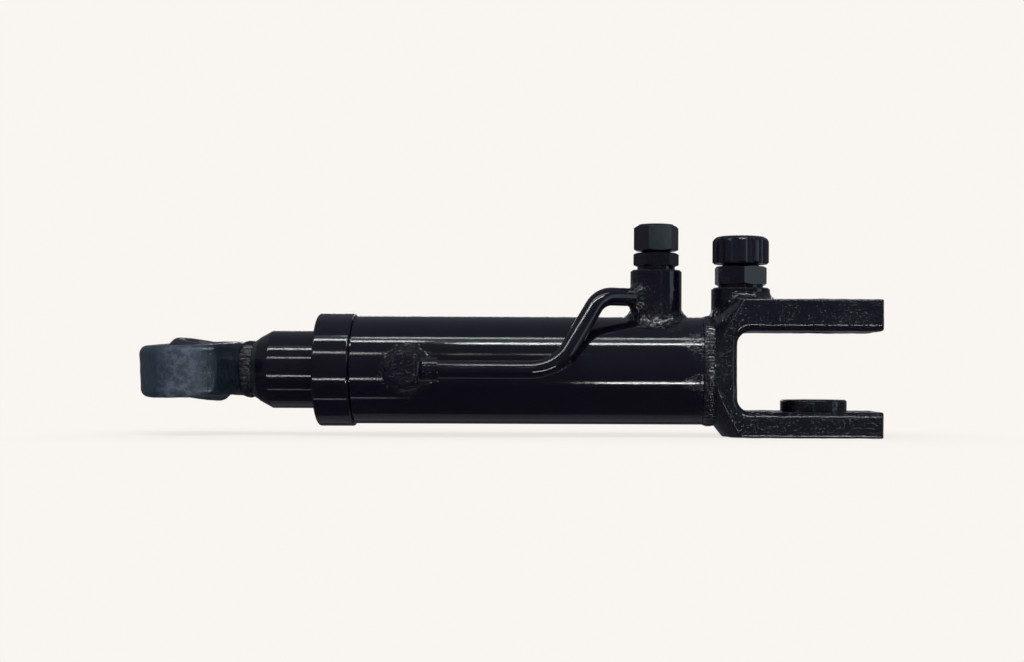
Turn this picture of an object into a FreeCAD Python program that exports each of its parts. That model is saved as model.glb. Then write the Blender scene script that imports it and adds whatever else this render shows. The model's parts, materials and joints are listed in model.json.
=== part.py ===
"""A double-acting hydraulic lift cylinder for a farm tractor's lower link, lying on its side.

Frame: origin where the fork's pin axis crosses the cylinder axis, +X towards the open end of the fork,
+Z towards the two ports, -Y towards the front, where the transfer pipe's lower end is. Millimetres.
The rod is drawn fully in, with its ball tilted in the eye and both ports capped.
"""
import FreeCAD, Part
import math
import os
import re

import Sketcher

Vector = FreeCAD.Vector
Rotation = FreeCAD.Rotation

doc = FreeCAD.newDocument("HydraulicLiftCylinder")
sheet = doc.addObject("Spreadsheet::Sheet", "Sizes")

# Driving sizes
SIZES = {
    # fork forging
    "fork_top": 39.2,
    "fork_bottom": 36.4,
    "fork_reach": 35.0,
    "gap_top": 21.8,
    "gap_bottom": 22.2,
    "gap_root": 44.4,
    "gap_corner_radius": 7.5,
    "gap_edge_chamfer": 2.8,
    "tine_corner_radius": 1.7,
    "pin_hole_radius": 11.2,
    "shoulder": 59.0,
    "cone_growth": 1.25,
    "spigot_length": 8.0,
    "spigot_clearance": 0.05,
    "nut_recess_radius": 19.0,
    "nut_recess_depth": 12.0,
    # bush in the lower tine
    "bush_radius": 14.0,
    "bush_flange_radius": 18.5,
    "bush_flange": 6.4,
    "bush_edge": 0.8,
    # barrel tube
    "bore_radius": 25.0,
    "barrel_wall": 5.0,
    "weld_bevel": 3.5,
    "weld_crown": 0.4,
    # gland
    "gland_relief": 1.0,
    "gland_relief_step": 2.0,
    "collar_rise": 1.4,
    "collar_length": 19.9,
    "collar_edge": 0.8,
    "neck_radius": 21.6,
    "neck_length": 25.9,
    "nose_radius": 17.6,
    "nose_length": 7.3,
    "gland_depth": 23.4,
    "gland_fit": 0.1,
    "gland_inner_edge": 1.0,
    # rod, piston and nut
    "rod_radius": 15.0,
    "rod_clearance": 0.05,
    "rod_bore_clearance": 0.3,
    "rod_tail_radius": 10.0,
    "rod_tail_edge": 1.0,
    "rod_tail_past_nut": 2.0,
    "stroke": 125.0,
    "stroke_reserve": 2.0,
    "stop_clearance": 1.0,
    "piston_land_length": 24.0,
    "piston_step_length": 12.0,
    "piston_step_radius": 21.0,
    "piston_clearance": 0.1,
    "piston_edge": 0.8,
    "nut_flats": 30.0,
    "nut_height": 12.0,
    "nut_edge": 1.6,
    "nut_sunk": 4.0,
    "nut_sink_clearance": 0.7,
    # seals and guides
    "seal_gap": 0.02,
    "piston_seal_offset": 10.0,
    "piston_seal_width": 6.0,
    "piston_seal_depth": 4.0,
    "energiser_depth": 1.6,
    "guide_ring_width": 4.0,
    "guide_ring_depth": 2.0,
    "guide_ring_margin": 2.5,
    "rod_bush_wall": 2.4,
    "inner_bush_start": 5.0,
    "inner_bush_length": 18.0,
    "rod_seal_start": 28.0,
    "rod_seal_width": 8.0,
    "rod_seal_depth": 5.0,
    "outer_bush_start": 48.0,
    "outer_bush_length": 14.0,
    "wiper_width": 5.5,
    "wiper_depth": 1.6,
    "wiper_lip": 2.9,
    "wiper_lip_depth": 2.3,
    "wiper_lip_end": 0.4,
    "gland_ring_start": 9.0,
    "gland_ring_width": 3.4,
    "gland_ring_depth": 2.5,
    "backup_width": 1.4,
    "tail_ring_offset": 6.0,
    "tail_ring_width": 2.6,
    "tail_ring_depth": 1.7,
    # rod eye and ball
    "nose_to_weld": 6.3,
    "eye_reach": 27.5,
    "eye_radius": 32.5,
    "eye_width": 28.4,
    "eye_edge_radius": 4.2,
    "eye_foot_radius": 14.75,
    "eye_neck_radius": 14.1,
    "eye_neck_length": 10.0,
    "eye_cone_growth": 1.6,
    "eye_roll": 3.0,
    "eye_pitch": 2.0,
    "eye_weld_half": 3.3,
    "eye_weld_depth": 4.0,
    "eye_weld_crown": 0.2,
    "ball_radius": 22.0,
    "ball_width": 31.0,
    "ball_clearance": 0.2,
    "ball_tilt": 10.0,
    "ball_edge": 0.6,
    # port over the fork, for the base side
    "base_port_from_shoulder": 18.1,
    "base_boss_radius": 16.4,
    "base_boss_rise": 7.1,
    "base_weld_leg": 3.6,
    "boss_sunk": 4.0,
    "base_port_radius": 10.2,
    "base_port_depth": 11.0,
    "oil_way_radius": 3.5,
    "oil_turn_height": 34.0,
    "oil_way_end_from_shoulder": 1.0,
    "oil_way_end_height": 17.0,
    "base_washer_radius": 12.6,
    "base_washer": 1.6,
    "base_hex": 27.0,
    "base_hex_height": 10.3,
    "base_hex_turn": -26.0,
    "base_stub_radius": 11.0,
    "base_stub_length": 14.0,
    "base_neck_height": 1.5,
    "base_neck_radius": 10.6,
    "base_cap_radius": 15.75,
    "base_cap_height": 15.2,
    "base_cap_edge": 3.6,
    "flute_count": 12,
    "flute_radius": 5.0,
    "flute_depth": 0.9,
    # port block on the barrel, for the rod side
    "rod_port_from_shoulder": 29.1,
    "block_radius": 14.3,
    "block_rise": 26.0,
    "block_edge": 0.8,
    "block_weld_leg": 4.6,
    "rod_port_radius": 8.3,
    "rod_port_depth": 12.0,
    "rod_washer_radius": 10.5,
    "rod_washer": 2.2,
    "rod_hex": 22.0,
    "rod_hex_height": 7.4,
    "rod_hex_turn": 3.0,
    "rod_stub_radius": 9.0,
    "rod_stub_length": 12.0,
    "rod_neck_height": 1.2,
    "rod_neck_radius": 8.6,
    "rod_cap_height": 14.7,
    "rod_cap_turn": 10.2,
    "rod_cap_chamfer": 2.0,
    "rod_cap_top_radius": 9.6,
    "washer_hole_clearance": 0.2,
    "hex_edge": 1.2,
    "stub_edge": 1.0,
    "thread_clearance": 0.1,
    "adapter_spigot_gap": 1.0,
    "adapter_way_radius": 4.0,
    "cap_seat_gap": 0.6,
    # transfer pipe and its elbow block on the barrel's front
    "elbow_from_gland": 7.6,
    "elbow_radius": 10.5,
    "elbow_rise": 16.0,
    "elbow_edge": 2.6,
    "elbow_weld_leg": 4.2,
    "sleeve_radius": 6.5,
    "sleeve_length": 7.5,
    "pipe_radius": 5.0,
    "pipe_wall": 1.5,
    "pipe_rise": 9.5,
    "pipe_top_rise": 10.6,
    "pipe_top_front": 20.5,
    "lower_bend_from_port": 53.9,
    "upper_bend_from_port": 30.9,
    "lower_bend_radius": 23.0,
    "upper_bend_radius": 15.0,
    "pipe_seat": 3.5,
    "pipe_weld_leg": 2.6,
}

for row, (alias, value) in enumerate(SIZES.items(), start=1):
    sheet.set(f"A{row}", alias.replace("_", " "))
    sheet.set(f"B{row}", str(value))
    sheet.setAlias(f"B{row}", alias)
doc.recompute()

# Sizes that follow from the driving ones
FOLLOWING = {
    "barrel_radius": "(bore_radius + barrel_wall)",
    "fork_width": "(2 * (bore_radius + barrel_wall))",
    "collar_radius": "(bore_radius + barrel_wall + collar_rise)",
    "gland_relief_radius": "(bore_radius + barrel_wall - gland_relief_step)",
    "boss_foot": "(bore_radius + barrel_wall - boss_sunk)",
    "base_port_x": "(shoulder - base_port_from_shoulder)",
    "base_boss_top": "(fork_top + base_boss_rise)",
    "oil_way_end_x": "(shoulder - oil_way_end_from_shoulder)",
    "rod_port_x": "(shoulder + rod_port_from_shoulder)",
    "block_top": "(bore_radius + barrel_wall + block_rise)",
    "elbow_reach": "(bore_radius + barrel_wall + elbow_rise)",
    "pipe_front": "(bore_radius + barrel_wall + pipe_rise)",
    "pipe_height": "(bore_radius + barrel_wall + pipe_top_rise)",
}
FOLLOWER = re.compile(r"\b(" + "|".join(FOLLOWING) + r")\b")
ALIAS = re.compile(r"\b(" + "|".join(SIZES) + r")\b")


def tied(text):
    """The expression text with what follows spelled out and each driving size's name pointing at its cell."""
    spelled = FOLLOWER.sub(lambda found: FOLLOWING[found[0]], str(text))
    return ALIAS.sub(r"Sizes.\1", spelled)


def worth(text):
    """What an expression of sizes is worth now, in millimetres or degrees."""
    return float(sheet.evalExpression(tied(text)))


# Places along the axis that several pieces share, as expressions of the sizes
HEX_CORNER = "cos(30)"
PAST = 1  # how far a cut runs on past the face that it opens
barrel_length = (
    "(spigot_length + stop_clearance + piston_land_length + piston_step_length + stroke + stroke_reserve"
    " + gland_depth)"
)
barrel_end = f"-(shoulder + {barrel_length})"
gland_face = f"-(shoulder + {barrel_length} + gland_relief)"
collar_end = f"({gland_face} - collar_length)"
neck_end = f"({collar_end} - neck_length)"
nose_end = f"({neck_end} - nose_length)"
gland_inside = f"({barrel_end} + gland_depth)"
elbow_x = f"({gland_inside} + elbow_from_gland)"
eye_weld_x = f"({nose_end} - nose_to_weld)"
eye_x = f"({eye_weld_x} - eye_reach)"
weld_root_radius = "(barrel_radius - weld_bevel)"
weld_half = "(weld_bevel * (1 + 1 / cone_growth) / 2)"
weld_bead_radius = f"(({weld_half}^2 + weld_crown^2) / (2 * weld_crown))"
eye_bead_radius = "((eye_weld_half^2 + eye_weld_crown^2) / (2 * eye_weld_crown))"
spigot_end = "-(shoulder + spigot_length)"
piston_face = f"({spigot_end} - stop_clearance)"
piston_land_end = f"({piston_face} - piston_land_length)"
piston_end = f"({piston_land_end} - piston_step_length)"
nut_outer = f"({piston_face} - nut_sunk + nut_height)"
tail_end = f"({nut_outer} + rod_tail_past_nut)"
base_seat = "(base_boss_top + base_washer)"
base_hex_top = f"({base_seat} + base_hex_height)"
base_cap_foot = f"({base_hex_top} + base_neck_height)"
rod_seat = "(block_top + rod_washer)"
rod_hex_top = f"({rod_seat} + rod_hex_height)"
rod_cap_foot = f"({rod_hex_top} + rod_neck_height)"


finished = []


def body_named(label, place=(), turn=None, piece=True):
    """A body with its origin at place and turned by turn, an axis and an angle."""
    body = doc.addObject("PartDesign::Body", label)
    body.Label = label
    if piece:
        finished.append(body)
    if turn:
        axis, angle = turn
        body.Placement = FreeCAD.Placement(Vector(), Rotation(Vector(*axis), worth(angle)))
        body.setExpression("Placement.Rotation.Angle", tied(angle))
    for direction, text in zip("xyz", place):
        body.setExpression(f"Placement.Base.{direction}", tied(text))
    return body


def sketch_on(body, role, name):
    """A sketch on one of the body's own origin planes."""
    plane = next(item for item in body.Origin.OriginFeatures if item.Role == role)
    sketch = body.newObject("Sketcher::SketchObject", f"{body.Name}_{name}")
    sketch.AttachmentSupport = [(plane, "")]
    sketch.MapMode = "FlatFace"
    return sketch


def hold(sketch, kind, target, text):
    """A driving dimension of the sketch, tied to the sizes."""
    index = sketch.addConstraint(Sketcher.Constraint(kind, *target, worth(text)))
    sketch.setExpression(f"Constraints[{index}]", tied(text))


def arc_between(start, end, radius, side):
    """The arc from start to end that bulges to its left, or to its right with side -1."""
    chord = end - start
    middle = (start + end) / 2
    across = Vector(-chord.y, chord.x, 0).normalize()
    sagitta = radius - math.sqrt(radius**2 - (chord.Length / 2) ** 2)
    return Part.Arc(start, middle + across * side * sagitta, end)


def outline(sketch, corners):
    """A closed outline. A corner is its two coordinates, and where an arc leads to it, radius and side."""
    points = [Vector(worth(corner[0]), worth(corner[1]), 0) for corner in corners]
    first = sketch.GeometryCount
    ends = []
    for index, corner in enumerate(corners):
        start = points[index - 1]
        if len(corner) == 2:
            sketch.addGeometry(Part.LineSegment(start, points[index]))
            ends.append((1, 2))
        else:
            sketch.addGeometry(arc_between(start, points[index], worth(corner[2]), corner[3]))
            # an arc is kept anticlockwise, so one that bulges left runs from its corner back
            ends.append((2, 1) if corner[3] > 0 else (1, 2))
    count = len(corners)
    for index, corner in enumerate(corners):
        edge, following = first + index, first + (index + 1) % count
        end, start = ends[index][1], ends[(index + 1) % count][0]
        sketch.addConstraint(Sketcher.Constraint("Coincident", edge, end, following, start))
        hold(sketch, "DistanceX", (-1, 1, edge, end), corner[0])
        hold(sketch, "DistanceY", (-1, 1, edge, end), corner[1])
        if len(corner) == 4:
            hold(sketch, "Radius", (edge,), corner[2])
    return sketch


def circle(sketch, across, up, radius):
    centre = Vector(worth(across), worth(up), 0)
    edge = sketch.addGeometry(Part.Circle(centre, Vector(0, 0, 1), worth(radius)))
    hold(sketch, "DistanceX", (-1, 1, edge, 3), across)
    hold(sketch, "DistanceY", (-1, 1, edge, 3), up)
    hold(sketch, "Radius", (edge,), radius)
    return sketch


def turned(body, name, corners, axis="H_Axis", kind="Revolution", role="XZ_Plane"):
    """A profile turned all round one axis of its sketch, added, or cut where kind is Groove."""
    sketch = outline(sketch_on(body, role, name + "_profile"), corners)
    feature = body.newObject(f"PartDesign::{kind}", f"{body.Name}_{name}")
    feature.Profile = sketch
    feature.ReferenceAxis = (sketch, [axis])
    feature.Angle = 360
    return feature


def padded(body, name, sketch, length, symmetric=False):
    feature = body.newObject("PartDesign::Pad", f"{body.Name}_{name}")
    feature.Profile = sketch
    feature.setExpression("Length", tied(length))
    if symmetric:
        feature.SideType = "Symmetric"
    return feature


def pocketed(body, name, sketch):
    """A pocket right through the body, both ways from its sketch."""
    feature = body.newObject("PartDesign::Pocket", f"{body.Name}_{name}")
    feature.Profile = sketch
    feature.Type = "ThroughAll"
    feature.SideType = "Symmetric"
    return feature


def box_outline(left, right, low, high):
    return [(left, low), (right, low), (right, high), (left, high)]


def hexagon(flats, turn):
    corner = f"{flats} / 2 / {HEX_CORNER}"
    angles = [f"{turn} + {step}" for step in range(0, 360, 60)]
    return [(f"{corner} * cos({angle})", f"{corner} * sin({angle})") for angle in angles]


def edges_where(feature, test):
    """Names of the feature's edges whose every sampled point passes the test."""
    doc.recompute()
    names = []
    for index, edge in enumerate(feature.Shape.Edges, start=1):
        low, high = edge.ParameterRange
        if all(test(edge.valueAt(low + (high - low) * part)) for part in (0.0, 0.5, 1.0)):
            names.append(f"Edge{index}")
    return names


def dressed(body, kind, name, base, names, amount):
    """A Fillet or Chamfer of the named edges."""
    feature = body.newObject(f"PartDesign::{kind}", f"{body.Name}_{name}")
    feature.Base = (base, names)
    feature.setExpression("Radius" if kind == "Fillet" else "Size", tied(amount))
    return feature


def shaped(label, shape):
    """A sub-part whose shape is worked out from the sizes here."""
    feature = doc.addObject("Part::Feature", label)
    feature.Label = label
    feature.Shape = shape
    finished.append(feature)
    return feature


# Fork forging
def near(value, target):
    return abs(value - target) < 0.01


def primitive(kind, name, sizes):
    """A Part primitive whose named sizes and place are tied to the sheet."""
    item = doc.addObject(f"Part::{kind}", name)
    for field, text in sizes.items():
        item.setExpression(field, tied(text))
    return item


def fork_form():
    """The forging's two tines and its square base, before the barrel end is turned."""
    body = body_named("fork_form", piece=False)
    side = sketch_on(body, "XZ_Plane", "side")
    outline(
        side,
        [("-shoulder", "-fork_bottom"), ("fork_reach", "-fork_bottom"), ("fork_reach", "-gap_bottom"),
         ("gap_corner_radius - gap_root", "-gap_bottom"),
         ("-gap_root", "gap_corner_radius - gap_bottom", "gap_corner_radius", 1),
         ("-gap_root", "gap_top - gap_corner_radius"),
         ("gap_corner_radius - gap_root", "gap_top", "gap_corner_radius", 1),
         ("fork_reach", "gap_top"), ("fork_reach", "fork_top"), ("-shoulder", "fork_top")],
    )
    padded(body, "block", side, "fork_width", symmetric=True)
    turned(
        body, "pin_hole", box_outline("0", "pin_hole_radius", "0", f"fork_top + {PAST}"),
        axis="V_Axis", kind="Groove",
    )
    bored = turned(
        body, "bush_seat", box_outline("0", "bush_radius", f"-fork_bottom - {PAST}", "0"),
        axis="V_Axis", kind="Groove",
    )
    front = worth("fork_width / 2")
    rim = edges_where(
        bored,
        lambda p: near(abs(p.y), front) and p.x > -worth("gap_root") - 0.01
        and -worth("gap_bottom") - 0.01 < p.z < worth("gap_top") + 0.01,
    )
    eased = dressed(body, "Chamfer", "gap_rim", bored, rim, "gap_edge_chamfer")
    # the corners' edges stop short of the rim's chamfer
    corners = edges_where(eased, lambda p: near(p.x, worth("fork_reach")) and near(abs(p.y), front))
    dressed(body, "Fillet", "tine_corners", eased, corners, "tine_corner_radius")
    return body


def along_axis(kind, name, start, sizes):
    """A Part cylinder or cone on the cylinder axis, from start towards +X."""
    item = primitive(kind, name, sizes)
    item.Placement = FreeCAD.Placement(Vector(), Rotation(Vector(0, 1, 0), 90))
    item.setExpression("Placement.Base.x", tied(start))
    return item


def fork_base():
    cone = along_axis(
        "Cone", "fork_cone", "-shoulder",
        {"Radius1": weld_root_radius, "Height": "shoulder + fork_reach",
         "Radius2": f"{weld_root_radius} + (shoulder + fork_reach) * cone_growth"},
    )
    coned = doc.addObject("Part::Common", "fork_coned")
    coned.Base = fork_form()
    coned.Tool = cone
    spigot = along_axis(
        "Cylinder", "fork_spigot", spigot_end,
        {"Radius": "bore_radius - spigot_clearance", "Height": "spigot_length"},
    )
    whole = doc.addObject("Part::Fuse", "fork_whole")
    whole.Base = coned
    whole.Tool = spigot
    recess = along_axis(
        "Cylinder", "nut_recess", spigot_end,
        {"Radius": "nut_recess_radius", "Height": "nut_recess_depth"},
    )
    drop = primitive(
        "Cylinder", "oil_drop",
        {"Radius": "oil_way_radius", "Height": f"fork_top + {PAST} - oil_turn_height",
         "Placement.Base.x": "-base_port_x", "Placement.Base.z": "oil_turn_height"},
    )
    run, fall = "(oil_way_end_x - base_port_x)", "(oil_turn_height - oil_way_end_height)"
    way = primitive(
        "Cylinder", "oil_way", {"Radius": "oil_way_radius", "Height": f"sqrt({run}^2 + {fall}^2)"}
    )
    way.Placement = FreeCAD.Placement(Vector(), Rotation(Vector(0, 1, 0), -100))
    way.setExpression("Placement.Base.x", tied("-base_port_x"))
    way.setExpression("Placement.Base.z", tied("oil_turn_height"))
    way.setExpression("Placement.Rotation.Angle", tied(f"180 deg + atan({run} / {fall})"))
    bend = primitive(
        "Sphere", "oil_turn",
        {"Radius": "oil_way_radius", "Placement.Base.x": "-base_port_x",
         "Placement.Base.z": "oil_turn_height"},
    )
    port = primitive(
        "Cylinder", "fork_port_bore",
        {"Radius": "base_port_radius", "Height": f"fork_top + {PAST} - (base_boss_top - base_port_depth)",
         "Placement.Base.x": "-base_port_x", "Placement.Base.z": "base_boss_top - base_port_depth"},
    )
    drillings = doc.addObject("Part::MultiFuse", "fork_drillings")
    drillings.Shapes = [recess, drop, bend, way, port]
    fork = doc.addObject("Part::Cut", "fork_base")
    fork.Base = whole
    fork.Tool = drillings
    finished.append(fork)
    return fork


def fork_bush():
    body = body_named("fork_bush", ("0", "0", "-gap_bottom"))
    turned(
        body, "ring",
        [("pin_hole_radius", "gap_bottom - fork_bottom"), ("bush_radius", "gap_bottom - fork_bottom"),
         ("bush_radius", "0"), ("bush_flange_radius", "0"), ("bush_flange_radius", "bush_flange - bush_edge"),
         ("bush_flange_radius - bush_edge", "bush_flange"), ("pin_hole_radius", "bush_flange")],
        axis="V_Axis",
    )
    return body


# Barrel tube, its weld to the fork and the gland
def barrel_tube():
    body = body_named("barrel_tube")
    turned(
        body, "wall",
        [("-shoulder", "bore_radius"), ("-shoulder", weld_root_radius),
         ("-shoulder - weld_bevel", "barrel_radius"), (barrel_end, "barrel_radius"),
         (barrel_end, "bore_radius")],
    )
    port = sketch_on(body, "XZ_Plane", "port")
    hole = body.newObject("PartDesign::Pocket", "barrel_tube_port_hole")
    hole.Profile = circle(port, elbow_x, "0", "oil_way_radius")
    hole.setExpression("Length", tied("barrel_radius"))
    hole.Reversed = True
    return body


def barrel_weld():
    body = body_named("barrel_weld", ("-shoulder", "0", "0"))
    turned(
        body, "bead",
        [("-weld_bevel", "barrel_radius", weld_bead_radius, -1), ("0", weld_root_radius),
         ("weld_bevel / cone_growth", "barrel_radius")],
    )
    return body


def gland():
    body = body_named("gland", (gland_face, "0", "0"))
    inside = "(gland_relief + gland_depth)"
    fitted = "(bore_radius - gland_fit)"
    nose = "-(collar_length + neck_length + nose_length)"
    bore = "(rod_radius + rod_bore_clearance)"
    turned(
        body, "shell",
        [(nose, bore), (nose, "nose_radius"), ("-(collar_length + neck_length)", "neck_radius"),
         ("-collar_length", "neck_radius"), ("-collar_length", "collar_radius - collar_edge"),
         ("-collar_length + collar_edge", "collar_radius"), ("-collar_edge", "collar_radius"),
         ("0", "collar_radius - collar_edge"), ("0", "gland_relief_radius"),
         ("gland_relief", "gland_relief_radius"), ("gland_relief", fitted),
         (f"{inside} - gland_inner_edge", fitted), (inside, f"{fitted} - gland_inner_edge"), (inside, bore)],
    )
    rings = {
        "inner_bush": (f"{inside} - inner_bush_start", "inner_bush_length", "rod_bush_wall"),
        "seal": (f"{inside} - rod_seal_start", "rod_seal_width", "rod_seal_depth"),
        "outer_bush": (f"{inside} - outer_bush_start", "outer_bush_length", "rod_bush_wall"),
        "wiper": (f"{nose} + wiper_width", "wiper_width", "wiper_depth"),
    }
    for name, (right, width, depth) in rings.items():
        turned(
            body, f"{name}_groove",
            box_outline(f"{right} - {width}", right, "rod_radius", f"rod_radius + rod_clearance + {depth}"),
            kind="Groove",
        )
    ring_right = f"{inside} - gland_ring_start"
    turned(
        body, "static_groove",
        box_outline(
            f"{ring_right} - gland_ring_width - backup_width", ring_right,
            "bore_radius - gland_ring_depth", f"bore_radius + {PAST}",
        ),
        kind="Groove",
    )
    return body


def ring_piece(label, left, width, inner, outer):
    """A plain ring round the cylinder axis."""
    body = body_named(label, (left, "0", "0"))
    turned(body, "ring", box_outline("0", width, inner, outer))
    return body


def gland_rings():
    ride = "rod_radius + rod_clearance"
    pieces = {
        "rod_guide_bush_inner": ("inner_bush_start", "inner_bush_length", "rod_bush_wall"),
        "rod_guide_bush_outer": ("outer_bush_start", "outer_bush_length", "rod_bush_wall"),
        "rod_seal": ("rod_seal_start", "rod_seal_width", "rod_seal_depth"),
    }
    for label, (start, width, depth) in pieces.items():
        ring_piece(label, f"{gland_inside} - {start} - {width}", width, ride, f"{ride} + {depth}")
    foot = f"{gland_inside} - gland_ring_start - gland_ring_width"
    inner, outer = "bore_radius - gland_ring_depth", "bore_radius - seal_gap"
    ring_piece("gland_o_ring", foot, "gland_ring_width", inner, outer)
    ring_piece("gland_backup_ring", f"{foot} - backup_width", "backup_width", inner, outer)
    wiper = body_named("wiper_seal", (nose_end, "0", "0"))
    turned(
        wiper, "ring",
        [("-wiper_lip", ride), ("-wiper_lip", f"{ride} + wiper_lip_end"), ("0", f"{ride} + wiper_lip_depth"),
         ("0", f"{ride} + wiper_depth"), ("wiper_width", f"{ride} + wiper_depth"), ("wiper_width", ride)],
    )


# Piston, its rings and its nut
def piston():
    body = body_named("piston", (piston_face, "0", "0"))
    outer = "(bore_radius - piston_clearance)"
    length = "(piston_land_length + piston_step_length)"
    turned(
        body, "body",
        [(f"-{length}", "rod_tail_radius"), (f"-{length}", "piston_step_radius - piston_edge"),
         (f"-{length} + piston_edge", "piston_step_radius"), ("-piston_land_length", "piston_step_radius"),
         ("-piston_land_length", f"{outer} - piston_edge"), ("-piston_land_length + piston_edge", outer),
         ("-piston_edge", outer), ("0", f"{outer} - piston_edge"),
         ("0", f"nut_flats / 2 / {HEX_CORNER} + nut_sink_clearance"),
         ("-nut_sunk", f"nut_flats / 2 / {HEX_CORNER} + nut_sink_clearance"),
         ("-nut_sunk", "rod_tail_radius")],
    )
    grooves = {
        "seal": ("piston_seal_offset", "piston_seal_width", "piston_seal_depth + energiser_depth"),
        "first_guide": ("guide_ring_margin", "guide_ring_width", "guide_ring_depth"),
        "second_guide": (
            "piston_land_length - guide_ring_margin - guide_ring_width", "guide_ring_width",
            "guide_ring_depth",
        ),
    }
    for name, (start, width, depth) in grooves.items():
        turned(
            body, f"{name}_groove",
            box_outline(
                f"-({start}) - {width}", f"-({start})", f"bore_radius - ({depth})", f"bore_radius + {PAST}"
            ),
            kind="Groove",
        )
    return body


def piston_rings():
    seal_left = f"{piston_face} - piston_seal_offset - piston_seal_width"
    seat = "bore_radius - piston_seal_depth"
    ring_piece("piston_seal", seal_left, "piston_seal_width", seat, "bore_radius - seal_gap")
    ring_piece("piston_seal_energiser", seal_left, "piston_seal_width", f"{seat} - energiser_depth", seat)
    inner, outer = "bore_radius - guide_ring_depth", "bore_radius - seal_gap"
    starts = {
        "piston_guide_ring_base_side": "guide_ring_margin",
        "piston_guide_ring_rod_side": "(piston_land_length - guide_ring_margin - guide_ring_width)",
    }
    for label, start in starts.items():
        ring_piece(label, f"{piston_face} - {start} - guide_ring_width", "guide_ring_width", inner, outer)


def piston_nut():
    body = body_named("piston_nut", (f"{piston_face} - nut_sunk", "0", "0"))
    flats = sketch_on(body, "YZ_Plane", "flats")
    outline(flats, hexagon("nut_flats", "0"))
    padded(body, "hex", flats, "nut_height")
    corner = f"nut_flats / 2 / {HEX_CORNER}"
    edges = {"outer_edge": ("nut_height", "nut_height - nut_edge"), "inner_edge": ("0", "nut_edge")}
    for name, (face, back) in edges.items():
        turned(
            body, name, [(face, "nut_flats / 2"), (face, f"{corner} + {PAST}"), (back, f"{corner} + {PAST}")],
            kind="Groove",
        )
    bore = sketch_on(body, "YZ_Plane", "bore")
    pocketed(body, "thread_bore", circle(bore, "0", "0", "rod_tail_radius"))
    return body


# Rod, its eye, the weld between them and the ball
def piston_rod():
    body = body_named("piston_rod")
    groove_left = f"{piston_end} + tail_ring_offset"
    turned(
        body, "bar",
        [(eye_weld_x, "0"), (eye_weld_x, "rod_radius - eye_weld_depth"),
         (f"{eye_weld_x} + eye_weld_half", "rod_radius"), (piston_end, "rod_radius"),
         (piston_end, "rod_tail_radius"), (groove_left, "rod_tail_radius"),
         (groove_left, "rod_tail_radius - tail_ring_depth"),
         (f"{groove_left} + tail_ring_width", "rod_tail_radius - tail_ring_depth"),
         (f"{groove_left} + tail_ring_width", "rod_tail_radius"),
         (f"{tail_end} - rod_tail_edge", "rod_tail_radius"), (tail_end, "rod_tail_radius - rod_tail_edge"),
         (tail_end, "0")],
    )
    ring_piece(
        "rod_o_ring", groove_left, "tail_ring_width", "rod_tail_radius - tail_ring_depth",
        "rod_tail_radius - seal_gap",
    )
    return body


def rod_eye():
    body = body_named("rod_eye", (eye_x,), ((1, 0, 0), "eye_roll"))
    ring = sketch_on(body, "XY_Plane", "ring")
    # the ring lies a little askew on its foot, lower at its far end
    ring.AttachmentOffset = FreeCAD.Placement(Vector(), Rotation(Vector(0, -1, 0), worth("eye_pitch")))
    ring.setExpression("AttachmentOffset.Rotation.Angle", tied("eye_pitch"))
    disc = padded(body, "disc", circle(ring, "0", "0", "eye_radius"), "eye_width", symmetric=True)
    doc.recompute()
    rims = [f"Edge{index}" for index, edge in enumerate(disc.Shape.Edges, start=1) if edge.isClosed()]
    dressed(body, "Fillet", "rims", disc, rims, "eye_edge_radius")
    neck = "(eye_reach - eye_weld_half)"
    turned(
        body, "cone_cut",
        [(neck, "0"), ("2 * eye_radius", "0"), ("2 * eye_radius", "eye_foot_radius + 2 * eye_radius"),
         (f"{neck} - 2 * eye_radius / eye_cone_growth", "eye_foot_radius + 2 * eye_radius"),
         (neck, "eye_foot_radius")],
        kind="Groove",
    )
    turned(
        body, "foot",
        [(f"{neck} - eye_neck_length", "0"), ("eye_reach", "0"),
         ("eye_reach", "eye_foot_radius - eye_weld_depth"), (neck, "eye_foot_radius"),
         (f"{neck} - eye_neck_length", "eye_neck_radius")],
    )
    socket = body.newObject("PartDesign::SubtractiveSphere", "rod_eye_socket")
    socket.setExpression("Radius", tied("ball_radius + ball_clearance"))
    return body


def rod_eye_weld():
    body = body_named("rod_eye_weld", (eye_weld_x,))
    turned(
        body, "bead",
        [("-eye_weld_half", "eye_foot_radius", eye_bead_radius, -1),
         ("0", "eye_foot_radius - eye_weld_depth"), ("0", "rod_radius - eye_weld_depth"),
         ("eye_weld_half", "rod_radius")],
    )
    return body


def eye_ball():
    body = body_named("eye_ball", (eye_x,))
    lean = Rotation(Vector(1, 0, 0), worth("eye_roll")) * Rotation(Vector(0, 1, 0), worth("ball_tilt"))
    body.Placement = FreeCAD.Placement(Vector(worth(eye_x), 0, 0), lean)
    flat = "sqrt(ball_radius^2 - ball_width^2 / 4)"
    half = "ball_width / 2"
    turned(
        body, "ball",
        [("pin_hole_radius", f"-({half}) + ball_edge"), ("pin_hole_radius + ball_edge", f"-({half})"),
         (flat, f"-({half})"), (flat, half, "ball_radius", -1), (f"pin_hole_radius + ball_edge", half),
         ("pin_hole_radius", f"{half} - ball_edge")],
        axis="V_Axis",
    )
    return body


# Ports: boss or block on the cylinder, seal washer, adapter and cap
def saddle(body, left, right):
    """The barrel's own round is cut out of a piece that stands on it."""
    turned(body, "saddle", box_outline(left, right, "0", "barrel_radius"), kind="Groove")


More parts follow.
